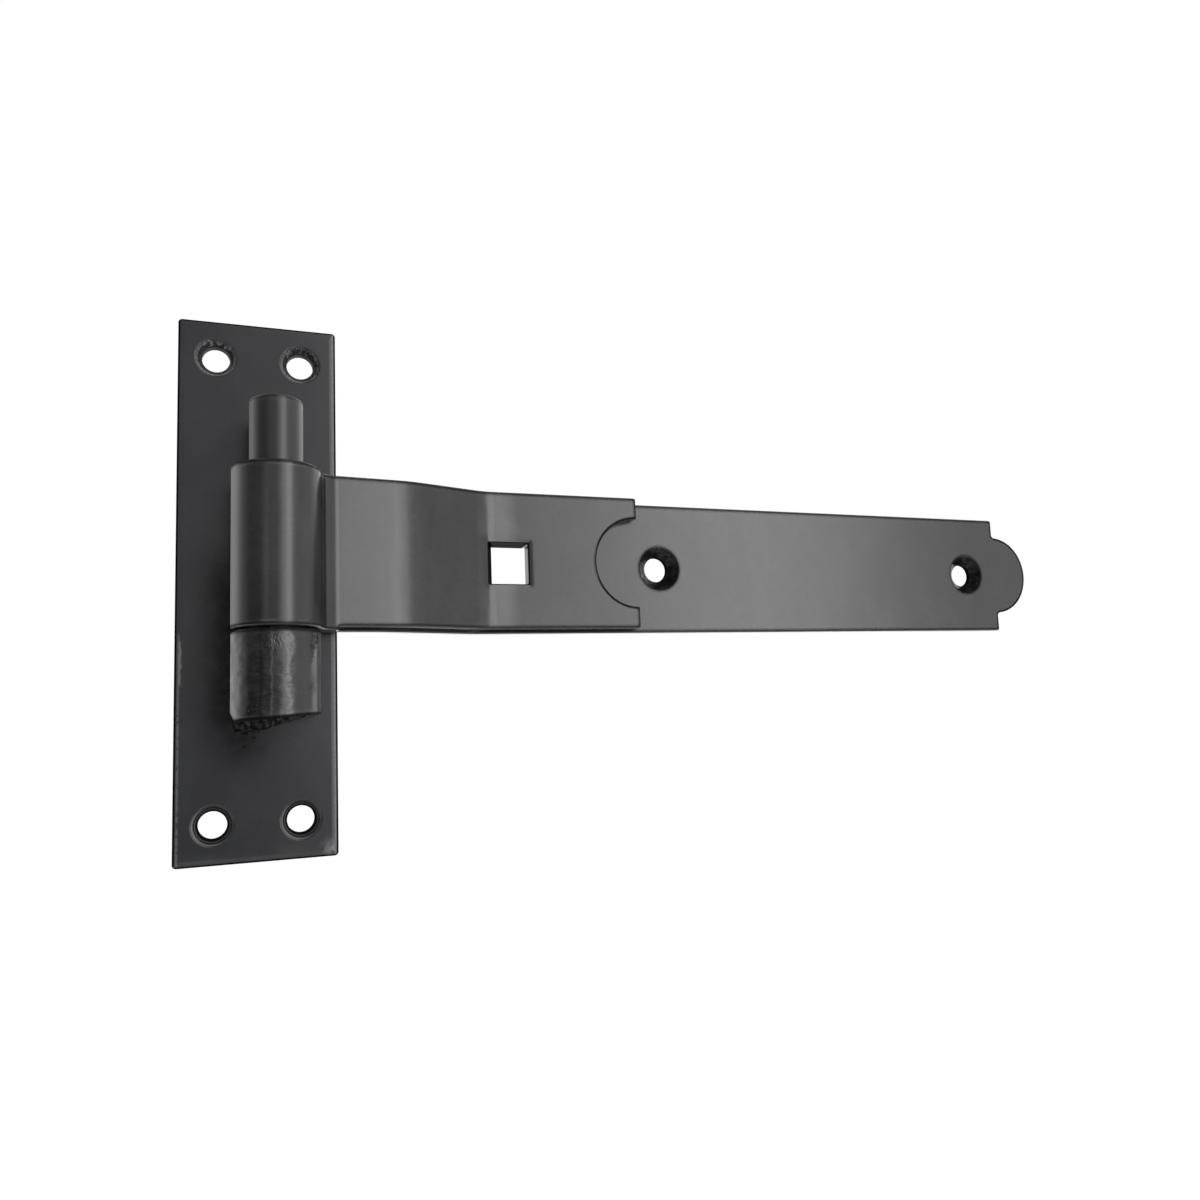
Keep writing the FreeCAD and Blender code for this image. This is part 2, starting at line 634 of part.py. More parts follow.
def corner(body, name, plane, end, level, way, end_formula, level_formula):
    """Round a sheared corner of a leaf: way is 1 at its bottom edge and -1 at its top edge.

    The piece cut away lies between the corner and a quarter circle that touches both edges.
    A margin carries it clear of the steel on the outside.
    """
    radius = sizes["band_corner"]
    inside = end - radius
    lift = level + way * radius
    outer = end + radius
    under = level - way * radius
    sketch = new_sketch(body, name, "XZ_Plane", plane)
    if way > 0:
        quarter = arc((inside, lift), radius, 270, 360)
        backward = ()
    else:
        quarter = arc((inside, lift), radius, 0, 90)
        backward = (0,)
    pieces = [
        quarter,
        line((end, lift), (outer, lift)),
        line((outer, lift), (outer, under)),
        line((outer, under), (inside, under)),
        line((inside, under), (inside, level)),
    ]
    first = chain(sketch, pieces, backward=backward)
    for step in (1, 3):
        sketch.addConstraint(Sketcher.Constraint("Horizontal", first + step))
    for step in (2, 4):
        sketch.addConstraint(Sketcher.Constraint("Vertical", first + step))
    touch = 2 if way > 0 else 1
    sketch.addConstraint(Sketcher.Constraint("Horizontal", first, 3, first, touch))
    dimension(sketch, "Radius", (first,), radius, "$band_corner")
    dimension(sketch, "DistanceX", (-1, 1, first + 1, 1), end, end_formula)
    dimension(sketch, "DistanceY", (-1, 1, first + 4, 2), level, level_formula)
    dimension(sketch, "DistanceX", (first + 1, 1, first + 1, 2), radius, "$band_corner")
    dimension(sketch, "DistanceY", (first + 2, 1, first + 2, 2), -2 * way * radius,
              "%d * $band_corner" % (-2 * way))
    sketch.addConstraint(Sketcher.Constraint("Vertical", first, 3, first + 4, 2))
    pocket(body, name + "_cut", sketch, "$band_thickness + $leaf_gap")


def notch(body):
    """Cut the half round out of the return leaf's end and round its two horns."""
    foot = eye_bottom + sizes["fold_lead"]
    middle = foot + sizes["band_width"] / 2
    end = pin_x + sizes["return_length"]
    sketch = new_sketch(body, "notch_outline", "XZ_Plane", BEFORE_RETURN_LEAF)
    circle(sketch, (end, middle), sizes["tip_radius"],
           ("$pin_across + $return_length", "-$eye_below + $fold_lead + $band_width / 2",
            "$tip_radius"))
    pocket(body, "notch_cut", sketch, "$band_thickness + $leaf_gap")
    for level, way, formula in ((foot, 1, "-$eye_below + $fold_lead"),
                                (foot + sizes["band_width"], -1,
                                 "-$eye_below + $fold_lead + $band_width")):
        corner(body, "horn_%s" % ("foot" if way > 0 else "top"), BEFORE_RETURN_LEAF,
               end, level, way, "$pin_across + $return_length", formula)


def square(body, name, across, across_formula, plane):
    """A square hole with rounded corners through one leaf, centred on the back leaf's height."""
    half = sizes["bolt_square"] / 2
    rounding = sizes["bolt_corner"]
    flat = half - rounding
    middle = eye_bottom + sizes["band_width"] / 2
    sketch = new_sketch(body, name + "_outline", "XZ_Plane", plane)
    pieces = [
        line((across - flat, middle - half), (across + flat, middle - half)),
        arc((across + flat, middle - flat), rounding, 270, 360),
        line((across + half, middle - flat), (across + half, middle + flat)),
        arc((across + flat, middle + flat), rounding, 0, 90),
        line((across + flat, middle + half), (across - flat, middle + half)),
        arc((across - flat, middle + flat), rounding, 90, 180),
        line((across - half, middle + flat), (across - half, middle - flat)),
        arc((across - flat, middle - flat), rounding, 180, 270),
    ]
    first = chain(sketch, pieces, tangent=range(8))
    for step in (0, 4):
        sketch.addConstraint(Sketcher.Constraint("Horizontal", first + step))
    for step in (2, 6):
        sketch.addConstraint(Sketcher.Constraint("Vertical", first + step))
    for step in (3, 5, 7):
        sketch.addConstraint(Sketcher.Constraint("Equal", first + 1, first + step))
    dimension(sketch, "Radius", (first + 1,), rounding, "$bolt_corner")
    dimension(sketch, "DistanceX", (first + 6, 1, first + 2, 1), 2 * half, "$bolt_square")
    dimension(sketch, "DistanceY", (first, 1, first + 4, 1), 2 * half, "$bolt_square")
    dimension(sketch, "DistanceX", (-1, 1, first + 2, 1), across + half,
              across_formula + " + $bolt_square / 2")
    dimension(sketch, "DistanceY", (-1, 1, first + 4, 1), middle + half,
              "-$eye_below + $band_width / 2 + $bolt_square / 2")
    pocket(body, name + "_cut", sketch, "$band_thickness + $leaf_gap")


def gate_holes(body):
    """Two countersunk screw holes along the middle of the back leaf."""
    middle = eye_bottom + sizes["band_width"] / 2
    marks = new_sketch(body, "gate_hole_marks", "XZ_Plane", "-" + BACK_LEAF)
    for reach, formula in ((sizes["gate_hole_near"], "$gate_hole_near"),
                           (sizes["band_length"] - sizes["gate_hole_far"], "$band_length - $gate_hole_far")):
        circle(marks, (pin_x + reach, middle), sizes["gate_hole"] / 2,
               ("$pin_across + " + formula, "-$eye_below + $band_width / 2", "$gate_hole / 2"))
    countersunk_holes(body, "gate_screw_holes", marks, "$gate_hole", "$gate_head")


def band():
    """One strip: long back leaf, rolled eye and short return leaf."""
    body = new_body("band")
    rolled_strip(body)
    tip(body)
    notch(body)
    across = pin_x + sizes["bolt_across"]
    square(body, "return_leaf_square", across, "$pin_across + $bolt_across", BEFORE_RETURN_LEAF)
    square(body, "back_leaf_square", across + sizes["bolt_shift"],
           "$pin_across + $bolt_across + $bolt_shift", BETWEEN_LEAVES)
    gate_holes(body)
    return body


def check(parts):
    """Stop if anything failed to build, before a file is written."""
    for item in doc.Objects:
        if "Invalid" in item.State or "Error" in item.State:
            raise ValueError("%s failed to build" % item.Label)
    for item in parts:
        if item.Shape.isNull() or not item.Shape.isValid():
            raise ValueError("%s has no valid shape" % item.Label)


def export(parts):
    """Write each sub-part to parts/NODE.step."""
    os.makedirs("parts", exist_ok=True)
    for item in parts:
        item.Shape.exportStep(os.path.join("parts", item.Label + ".step"))


plate = hook_plate()
block = knuckle()
sub_parts = [plate, block, pin(), weld_bead(plate, block), band()]
doc.recompute()
check(sub_parts)
export(sub_parts)
for item in sub_parts:
    print(item.Label, len(item.Shape.Solids), "solid", round(item.Shape.Volume, 1), "mm3")
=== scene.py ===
import math

import bpy
import numpy as np
from mathutils import Matrix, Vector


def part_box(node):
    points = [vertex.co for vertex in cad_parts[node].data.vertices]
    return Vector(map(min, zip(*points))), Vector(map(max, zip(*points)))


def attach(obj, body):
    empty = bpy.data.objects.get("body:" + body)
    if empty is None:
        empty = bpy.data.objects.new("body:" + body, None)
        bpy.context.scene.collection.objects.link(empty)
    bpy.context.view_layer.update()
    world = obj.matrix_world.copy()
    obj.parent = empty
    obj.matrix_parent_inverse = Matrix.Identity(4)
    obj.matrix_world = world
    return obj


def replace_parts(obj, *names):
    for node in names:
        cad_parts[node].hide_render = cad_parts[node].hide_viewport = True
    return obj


# Cranked hook and band gate hinge in a semi-gloss black coat.
# Metres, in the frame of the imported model: +X along the band, +Y into the post, +Z up the pin.

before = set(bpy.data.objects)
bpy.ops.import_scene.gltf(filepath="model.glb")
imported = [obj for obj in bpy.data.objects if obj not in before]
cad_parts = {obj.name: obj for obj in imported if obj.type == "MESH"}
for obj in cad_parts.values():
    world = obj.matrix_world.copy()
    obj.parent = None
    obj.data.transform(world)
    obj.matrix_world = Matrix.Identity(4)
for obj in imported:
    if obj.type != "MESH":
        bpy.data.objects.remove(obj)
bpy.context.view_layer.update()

MM = 0.001

# Places of the pieces, read from the frame
plate_low, plate_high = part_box("hook_plate")
knuckle_low, knuckle_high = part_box("knuckle")
pin_low, pin_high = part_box("pin")
band_low, band_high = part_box("band")
bead_low, bead_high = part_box("weld_bead")
plate_front = plate_low.y

# The same places in millimetres, as the coats measure them
PIN_X = (pin_low.x + pin_high.x) / 2 / MM
PIN_Y = (pin_low.y + pin_high.y) / 2 / MM
KNUCKLE_RADIUS = (knuckle_high.x - knuckle_low.x) / 2 / MM

# Post screw holes, from the middle of the plate: radii of the bore, the rim and the rings of painted
# highlight in the countersinks, the radii where the thread marks fade, and how fast those marks repeat
SCREW_ACROSS = 13.0
SCREW_UP = 74.0
SCREW_BORE = 4.25
SCREW_RIM = 6.3
OUTER_HIGHLIGHT_RING = SCREW_RIM - 0.45
INNER_HIGHLIGHT_RING = SCREW_RIM - 1.25
THREAD_FADE = (5.2, 5.8)
THREAD_TURNS = 7.0

# Marks of the plate: how far in from its edges the lines of painted highlight run, then the heights
# where the left line fades, those of the wavy line, and the place and heights of the painted shade
# beside the knuckle
RIGHT_LINE, LEFT_LINE, WAVY_LINE, FOOT_LINE = 0.95, 1.2, 1.5, 2.6
LEFT_LINE_FADE = (-18.0, -14.0)
WAVY_SPAN = (-31.0, -17.5)
# Painted shade beside the knuckle: its place across and its heights
SHADE_ACROSS = -9.5
SHADE_SPAN = (-50.0, 8.0)

# Marks of the knuckle: the seam, the gouges and the speck of rust, each across and below its
# top, and the depths where the marks of its front fade
SEAM_ACROSS = 2.9
GOUGES_ACROSS, GOUGES_DOWN = 2.6, 4.0
RUST_ACROSS, RUST_DOWN = 15.0, 1.7
FRONT_FADE = (-16.0, -14.0)

# Holes of the band
BAND_MIDDLE = 8.7
SQUARE_ACROSS = PIN_X + 77.9
SQUARE_SIDE = 14.6
GATE_SCREWS = (PIN_X + 138.0, PIN_X + 283.3)
GATE_BORE = 4.6
GATE_RIM = 8.2

# The gap between the leaves: a point across and back, and how far it moves back for each
# millimetre across, beside the eye and down the crank
GAP_BESIDE_EYE = (23.6, -11.4, 0.09)
GAP_DOWN_CRANK = (51.5, -7.6, 0.347)

# Where the return leaf's relief starts and ends across: the bowed neck and how softly it ends,
# the bend, the shoulder, and the start of the part that the punch drew in
NECK_START, NECK_END, NECK_SOFT = 22.0, 47.0, 6.0
BEND = (40.0, 59.0)
SHOULDER = (71.5, 86.0)
PUNCHED_START = (60.0, 66.0)

# Where the band's painted dark outline sets in across, the radii about the pin where the eye's marks
# fade, and the depths of the square hole's wall that is painted light
OUTLINE_START = (23.0, 25.0)
EYE_FADE = (14.2, 15.2)
LIT_WALL_SPAN = (-4.0, -0.1)


class Value:
    """A number that varies over a surface. Arithmetic on it adds the Math nodes."""

    def __init__(self, tree, socket):
        self.tree = tree
        self.socket = socket

    def math(self, operation, *others):
        made = self.tree.node("ShaderNodeMath", {"operation": operation},
                              dict(enumerate((self, *others))))
        return Value(self.tree, made.outputs[0])

    def math_after(self, operation, other):
        made = self.tree.node("ShaderNodeMath", {"operation": operation}, {0: other, 1: self})
        return Value(self.tree, made.outputs[0])

    def __add__(self, other):
        return self.math("ADD", other)

    def __radd__(self, other):
        return self.math_after("ADD", other)

    def __sub__(self, other):
        return self.math("SUBTRACT", other)

    def __rsub__(self, other):
        return self.math_after("SUBTRACT", other)

    def __mul__(self, other):
        return self.math("MULTIPLY", other)

    def __rmul__(self, other):
        return self.math_after("MULTIPLY", other)

    def __truediv__(self, other):
        return self.math("DIVIDE", other)

    def __pow__(self, other):
        return self.math("POWER", other)

    def __neg__(self):
        return self.math("MULTIPLY", -1.0)

    def __abs__(self):
        return self.math("ABSOLUTE")

    def most(self, other):
        return self.math("MAXIMUM", other)

    def least(self, other):
        return self.math("MINIMUM", other)

    def exp(self):
        return self.math("EXPONENT")

    def sine(self):
        return self.math("SINE")

    def bell(self, reach):
        """1 at zero, fading to 0 on both sides over a reach."""
        return (-(self / reach) ** 2.0).exp()

    def near(self, place, reach):
        """1 at a place, fading to 0 on both sides over a reach."""
        return (self - place).bell(reach)

    def ramp(self, low, high):
        """0 below low, 1 above high, and a smooth step between them."""
        made = self.tree.node("ShaderNodeMapRange", {"interpolation_type": "SMOOTHSTEP"},
                              {"Value": self, "From Min": low, "From Max": high})
        return Value(self.tree, made.outputs[0])

    def within(self, low, high, soft):
        """1 between low and high, with soft sides."""
        return self.ramp(low - soft, low + soft) * (1 - self.ramp(high - soft, high + soft))


def length(first, second):
    """Distance from two runs at a right angle."""
    return (first * first + second * second) ** 0.5


class Tree:
    """A node tree of a material or of the world, built through one method."""

    def __init__(self, owner):
        owner.use_nodes = True
        self.nodes = owner.node_tree.nodes
        self.links = owner.node_tree.links
        self.nodes.clear()

    def node(self, kind, settings=None, sockets=None):
        """Add a node: its settings first, then the values or links of its sockets."""
        made = self.nodes.new(kind)
        for name, setting in (settings or {}).items():
            setattr(made, name, setting)
        for key, feed in (sockets or {}).items():
            if isinstance(feed, Value):
                feed = feed.socket
            if isinstance(feed, bpy.types.NodeSocket):
                self.links.new(feed, made.inputs[key])
            else:
                made.inputs[key].default_value = feed
        return made

    def value(self, kind, settings=None, sockets=None, output=0):
        return Value(self, self.node(kind, settings, sockets).outputs[output])

    def parts(self, vector):
        """The three numbers of a vector."""
        return [Value(self, axis) for axis in self.node("ShaderNodeSeparateXYZ", None, {0: vector}).outputs]

    def dot(self, first, second):
        """How far two directions agree: 1 when they are the same."""
        return self.value("ShaderNodeVectorMath", {"operation": "DOT_PRODUCT"},
                          {0: first, 1: second}, "Value")

    def noise(self, where, scale, detail=2.0, roughness=0.5):
        """Fractal noise about zero, from about -0.5 to 0.5."""
        return self.value("ShaderNodeTexNoise", None,
                          {"Vector": where, "Scale": scale, "Detail": detail,
                           "Roughness": roughness}) - 0.5

    def blend(self, factor, first, second):
        """A colour between two colours."""
        made = self.node("ShaderNodeMix", {"data_type": "RGBA"},
                         {"Factor": factor, 6: first, 7: second})
        return made.outputs[2]


# Colours of the coat
BLACK = (0.0078, 0.0079, 0.0084, 1.0)
WORN_BLACK = (0.0135, 0.0136, 0.0142, 1.0)
COOL_BLACK = (0.0076, 0.0081, 0.0112, 1.0)
WORN_COOL_BLACK = (0.0120, 0.0126, 0.0162, 1.0)
DEEP_BLACK = (0.0035, 0.0035, 0.0038, 1.0)
GREY_BLACK = (0.055, 0.055, 0.054, 1.0)
PALE_GREY = (0.110, 0.110, 0.108, 1.0)
# Dull black of painted shade, along edges and in hollows
DULL_BLACK = (0.0035, 0.0035, 0.0035, 1.0)
RUST = (0.105, 0.036, 0.018, 1.0)

# Reach of the dark line of painted shade along sharp edges, and of the grey line of painted highlight inside
# it
OUTLINE = 2.2
HIGHLIGHT_REACH = 3.4

# How far an edge has to turn the surface for a line to start, and to be full
EDGE_START, EDGE_FULL = 0.003, 0.03

# Where a barrel round the pin is squared: degrees from its front, and the reach of each ridge
LEFT_SIDE, RIGHT_SIDE, SIDE_REACH = -100.0, 80.0, 20.0


class Coat(Tree):
    """A coat of black paint on steel: where it is in millimetres, and its finish."""

    def __init__(self, name):
        self.material = bpy.data.materials.new(name)
        super().__init__(self.material)
        place = self.node("ShaderNodeTexCoord").outputs["Object"]
        self.place = self.node("ShaderNodeVectorMath", {"operation": "SCALE"},
                               {0: place, "Scale": 1 / MM}).outputs[0]
        self.x, self.y, self.z = self.parts(self.place)

    def streaks(self, along, detail):
        """Noise at a scale of its own along each axis, for streaks and waves."""
        where = self.node("ShaderNodeVectorMath", {"operation": "MULTIPLY"},
                          {0: self.place, 1: along}).outputs[0]
        return self.noise(where, scale=1.0, detail=detail)

    def patches(self, scale, low, high):
        """Clouds of noise cut off to between 0 and 1."""
        return (self.noise(self.place, scale, detail=3.0) + 0.5).ramp(low, high)

    def spot(self, x, z, reach):
        """1 at a point of the front face, fading to 0 over a reach in millimetres."""
        return length(self.x - x, self.z - z).bell(reach)

    def squared(self, radius, left, right):
        """Height of two ridges along a barrel round the pin, which square its sides a little."""
        around = (self.x - PIN_X).math("ARCTAN2", PIN_Y - self.y) * math.degrees(1.0)
        ridges = around.near(LEFT_SIDE, SIDE_REACH) * left + around.near(RIGHT_SIDE, SIDE_REACH) * right
        return ridges * radius

    def skin(self, depth):
        """The fine skin of a sprayed coat: two sizes of shallow bumps, in millimetres."""
        coarse = self.noise(self.place, scale=0.55) * depth
        fine = self.noise(self.place, scale=2.2, detail=1.0) * (depth / 4)
        return coarse + fine

    def paint(self, dark=BLACK, lighter=WORN_BLACK):
        """Near black with faint cloudy patches."""
        return self.blend(self.patches(0.06, 0.35, 0.75), dark, lighter)

    def rounded(self, radius):
        """The surface's direction, with edges rounded over a radius in millimetres."""
        return self.node("ShaderNodeBevel", {"samples": 8}, {"Radius": radius * MM}).outputs[0]

    def facing(self):
        """The surface's own direction, with its edges sharp."""
        return self.node("ShaderNodeNewGeometry").outputs["Normal"]

    def edge(self, reach):
        """1 along sharp edges, fading to 0 within a reach in millimetres."""
        return (1 - self.dot(self.rounded(reach), self.facing())).ramp(EDGE_START, EDGE_FULL)

    def finish(self, colour, roughness, height, rounding=0.4, outline=0.95, hidden=0.0):
        """Close the coat with a colour, a roughness and a height in millimetres.

        Along sharp edges, and where hidden is 1, shade is painted in as a dull black, least on
        faces that look down. A grey line of painted highlight runs inside the dark one.
        """
        # Grey line of painted highlight along edges
        greyed = self.edge(HIGHLIGHT_REACH) * (outline * 0.4)
        bump = self.node("ShaderNodeBump", None,
                         {"Strength": 1.0, "Distance": MM, "Height": height,
                          "Normal": self.rounded(rounding)})
        gloss = self.node("ShaderNodeBsdfPrincipled", None,
                          {"Base Color": self.blend(greyed, colour, GREY_BLACK),
                           "Roughness": roughness, "Specular IOR Level": 0.4,
                           "Normal": bump.outputs[0]})
        # Painted shade: a dull black along sharp edges and where hidden is 1
        dull = self.node("ShaderNodeBsdfPrincipled", None,
                         {"Base Color": DULL_BLACK, "Roughness": 0.7, "Specular IOR Level": 0.0})
        down = self.parts(self.facing())[2].ramp(-0.4, -0.9)
        dark = self.edge(OUTLINE) * (1 - down * 0.9) * outline
        mixed = self.node("ShaderNodeMixShader", None,
                          {0: dark.most(hidden), 1: gloss.outputs[0], 2: dull.outputs[0]})
        self.node("ShaderNodeOutputMaterial", None, {"Surface": mixed.outputs[0]})
        return self.material


def plate_edge_highlights(coat):
    """Painted highlights in grey along the plate's edges: lines, a wavy line, a smudged foot line and a
    corner spot.
    """
    half = plate_high.x / MM
    foot = plate_low.z / MM
    lumps = coat.patches(0.8, 0.40, 0.60)
    right_line = coat.x.near(half - RIGHT_LINE, reach=0.30) * (1 - lumps * 0.35) * 0.75
    low_part = 1 - coat.z.ramp(*LEFT_LINE_FADE)
    left_line = coat.x.near(LEFT_LINE - half, reach=0.35) * low_part * coat.patches(0.8, 0.30, 0.50)
    wobble = coat.noise(coat.place, scale=0.45) * 1.2
    highlight_line = (coat.x + wobble).near(WAVY_LINE - half, reach=0.38) * coat.z.within(*WAVY_SPAN, soft=1.0)
    more_right = coat.x.ramp(-5.0, 20.0) * 0.22 + 0.12
    foot_line = coat.z.near(foot + FOOT_LINE, reach=1.3) * coat.patches(0.12, 0.30, 0.75) * more_right
    corner = coat.spot(half - 2.4, foot + FOOT_LINE, reach=2.2) * coat.patches(0.6, 0.30, 0.55)
    return right_line.most(left_line * 0.6).most(highlight_line).most(foot_line).most(corner)


def plate_shade_by_knuckle(coat):
    """Painted shade on the plate's front, left of the knuckle and the eye, and under the weld."""
    beside = coat.x.near(SHADE_ACROSS, reach=7.0) * coat.z.within(*SHADE_SPAN, soft=10.0)
    under = coat.spot(-5.0, knuckle_low.z / MM - 5.0, reach=9.0)
    return beside.most(under) * (coat.patches(0.35, 0.10, 0.70) * 0.35 + 0.65)


def plate_coat():
    """Rolled plate: painted highlights along its edges and round the lower holes, threads, chips and painted
    glints in the upper holes, and painted shade in the holes, along its outline and beside the knuckle.
    """
    coat = Coat("plate_black_coat")
    inward = (plate_high.x / MM - abs(coat.x)).least(plate_high.z / MM - abs(coat.z))
    off_back = 1 - coat.y.ramp(plate_high.y / MM - 0.7, plate_high.y / MM - 0.1)
    upper = coat.z.ramp(0.0, 10.0)
    away = length(abs(coat.x) - SCREW_ACROSS, abs(coat.z) - SCREW_UP)
    cone = away.within(SCREW_BORE + 0.1, SCREW_RIM - 0.2, soft=0.2)

    waves = coat.streaks((0.06, 0.06, 0.02), detail=2.0)
    fat_edge = 1 - inward.ramp(0.5, 2.2)
    turns = (coat.y * THREAD_TURNS + coat.noise(coat.place, scale=0.8) * 1.2).sine()
    threads = turns * (1 - away.ramp(*THREAD_FADE)) * upper
    chips = coat.noise(coat.place, scale=1.3, detail=3.0) * cone * upper
    height = waves * 0.05 + coat.skin(0.0018) - fat_edge * 0.10 + threads * 0.035 + chips * 0.9

    # Rings of painted highlight round the countersinks, brighter on the side towards the light
    to_left = (coat.x.math("SIGN") * SCREW_ACROSS - coat.x) * 0.8
    to_middle = (SCREW_UP - abs(coat.z)) * (upper * 2 - 1) * 0.6
    lit_side = ((to_left + to_middle) / away).ramp(-0.5, 0.8)
    rim_highlight = away.near(OUTER_HIGHLIGHT_RING, reach=0.24) * (lit_side * 0.90 + 0.20) * (1 - upper * 0.45)
    inner_rim_highlight = away.near(INNER_HIGHLIGHT_RING, reach=0.20) * (1 - upper) * off_back
    # Painted glints in grey on chips in the upper part of the cones
    glinting_chips = cone * ((coat.z - SCREW_UP) / away).ramp(-0.1, 0.7) * coat.patches(0.7, 0.52, 0.64)
    # All the grey of the plate is painted highlight and painted glint
    greyed = plate_edge_highlights(coat).most(rim_highlight * off_back).most(glinting_chips * 0.9).most(inner_rim_highlight * 0.6)
    colour = coat.blend(greyed, coat.paint(COOL_BLACK, WORN_COOL_BLACK), PALE_GREY)
    roughness = coat.noise(coat.place, scale=0.25, detail=3.0) * 0.05 + 0.22

    # Painted shade in dull black: the bores and countersinks, a band along the outline, and beside the
    # knuckle
    bore = (1 - away.ramp(SCREW_BORE + 0.05, SCREW_BORE + 0.3)) * (1 - upper * 0.25)
    inside = (1 - away.ramp(SCREW_RIM - 1.0, SCREW_RIM - 0.7)) * (0.95 - upper * 0.35)
    inside = inside * (1 - inner_rim_highlight * 0.8) * (1 - glinting_chips) * off_back
    border = 1 - inward.ramp(0.50, 0.75)
    hidden = bore.most(plate_shade_by_knuckle(coat) * off_back * 0.72).most(border).most(inside)
    return coat.finish(colour, roughness, height, rounding=0.55, outline=0.0, hidden=hidden)


def bar_coat():
    """Turned bar: fine lengthwise streaks under the coat and a few light scratches."""
    coat = Coat("pin_black_coat")
    streaks = coat.streaks((0.9, 0.9, 0.072), detail=2.0)
    scratch = coat.streaks((1.32, 1.32, 0.072), detail=2.0).ramp(0.16, 0.26)
    height = streaks * 0.010 + coat.skin(0.003) - scratch * 0.02 + coat.squared(8.6, 0.15, 0.0)
    colour = coat.blend(scratch * 0.35, coat.paint(), GREY_BLACK)
    roughness = coat.noise(coat.place, scale=0.3, detail=3.0) * 0.08 + 0.33
    return coat.finish(colour, roughness, height)


def knuckle_coat():
    """Block shaped by hand grinding: uneven facets, a seam, pits and scratches that the coat doesn't hide, a
    painted highlight on the ridge, and painted shade on the right flank and the facet left of the seam.
    """
    coat = Coat("knuckle_black_coat")
    top = knuckle_high.z / MM
    right_flank = PIN_X + KNUCKLE_RADIUS
    front = 1 - coat.y.ramp(*FRONT_FADE)

    facets = coat.streaks((0.15, 0.15, 0.16), detail=1.0)
    ripple = coat.streaks((0.30, 0.30, 0.85), detail=2.0)
    pits = coat.noise(coat.place, scale=1.3, detail=4.0, roughness=0.65).ramp(0.08, 0.35)
    scratch = coat.streaks((0.6, 0.6, 3.6), detail=2.0).ramp(0.14, 0.28) * coat.patches(0.2, 0.40, 0.60)
    ridge = coat.x.near(right_flank - 1.3, reach=0.25) * front
    gouges = coat.streaks((1.6, 1.6, 0.8), detail=2.0)
    gouges = gouges * coat.spot(GOUGES_ACROSS, top - GOUGES_DOWN, reach=2.4)
    height = facets * 0.50 + ripple * 0.11 - pits * 0.05 - scratch * 0.03 + ridge * 0.10 + gouges * 0.5
    height = height + coat.skin(0.005) + coat.squared(KNUCKLE_RADIUS, 0.13, 0.0)

    wobble = coat.streaks((0.0, 0.0, 0.30), detail=3.0) * 2.2
    off_seam = coat.x - SEAM_ACROSS + wobble
    grain = coat.streaks((0.6, 0.6, 2.4), detail=2.0).ramp(-0.15, 0.20)
    seam = off_seam.bell(0.36) * front * (0.35 + grain * 0.65)
    # Lighter marks: scratches, the seam, and a grey painted highlight on the ridge
    lighter = (scratch * 0.3).most(ridge * 0.25).most(seam * 0.85)
    rust = coat.spot(RUST_ACROSS, top - RUST_DOWN, reach=0.42).ramp(0.4, 0.8)
    colour = coat.blend(rust * 0.8, coat.blend(lighter, coat.paint(), GREY_BLACK), RUST)
    roughness = coat.noise(coat.place, scale=0.5, detail=4.0) * 0.12 + 0.19

    # Painted shade in dull black: the right flank and the facet left of the seam
    right_side = coat.x.ramp(right_flank - 2.6, right_flank - 1.0) * front
    facet_shade = off_seam.within(-3.4, -0.3, soft=0.4) * front
    hidden = (right_side * 0.85).most(facet_shade * 0.38)
    return coat.finish(colour, roughness, height, rounding=0.5, hidden=hidden)


def strip_relief(coat, off_square, barrel):
    """Height of the rolled strip: faint waves, a bowed neck, and steel drawn in by the punch.

    The neck and its shoulder are on the return leaf alone, which lies in front of a line
    that runs beside the eye, down the crank and along the flat part.
    """
    waves = coat.streaks((0.025, 0.05, 0.035), detail=2.0)
    beside_eye, down_crank = ((coat.x - across) * slope + back
                              for across, back, slope in (GAP_BESIDE_EYE, GAP_DOWN_CRANK))
    return_leaf = 1 - (coat.y - beside_eye.most(down_crank).least(0.0)).ramp(-0.3, 0.3)
    wander = coat.streaks((0.03, 0.03, 0.07), detail=1.0)
    bow = (coat.x.math("SMOOTH_MIN", NECK_END, NECK_SOFT) - NECK_START).most(0.0)
    bend = (coat.x + wander * 4.0).ramp(*BEND)
    shoulder = (coat.x + wander * 5.0).ramp(*SHOULDER)
    right = coat.x.ramp(SQUARE_ACROSS, SQUARE_ACROSS + SQUARE_SIDE / 2)
    up = coat.z.ramp(BAND_MIDDLE, BAND_MIDDLE + SQUARE_SIDE / 2)
    drawn_in = off_square.bell(1.1 + up * (1 - right) * 0.9) * coat.x.ramp(*PUNCHED_START)
    leaf = bow * 0.05 + bend * 0.50 + shoulder * 0.80 + drawn_in * 0.22
    return waves * 0.12 + coat.skin(0.002) - leaf * return_leaf + coat.squared(13.5, 0.15, 0.05) * barrel


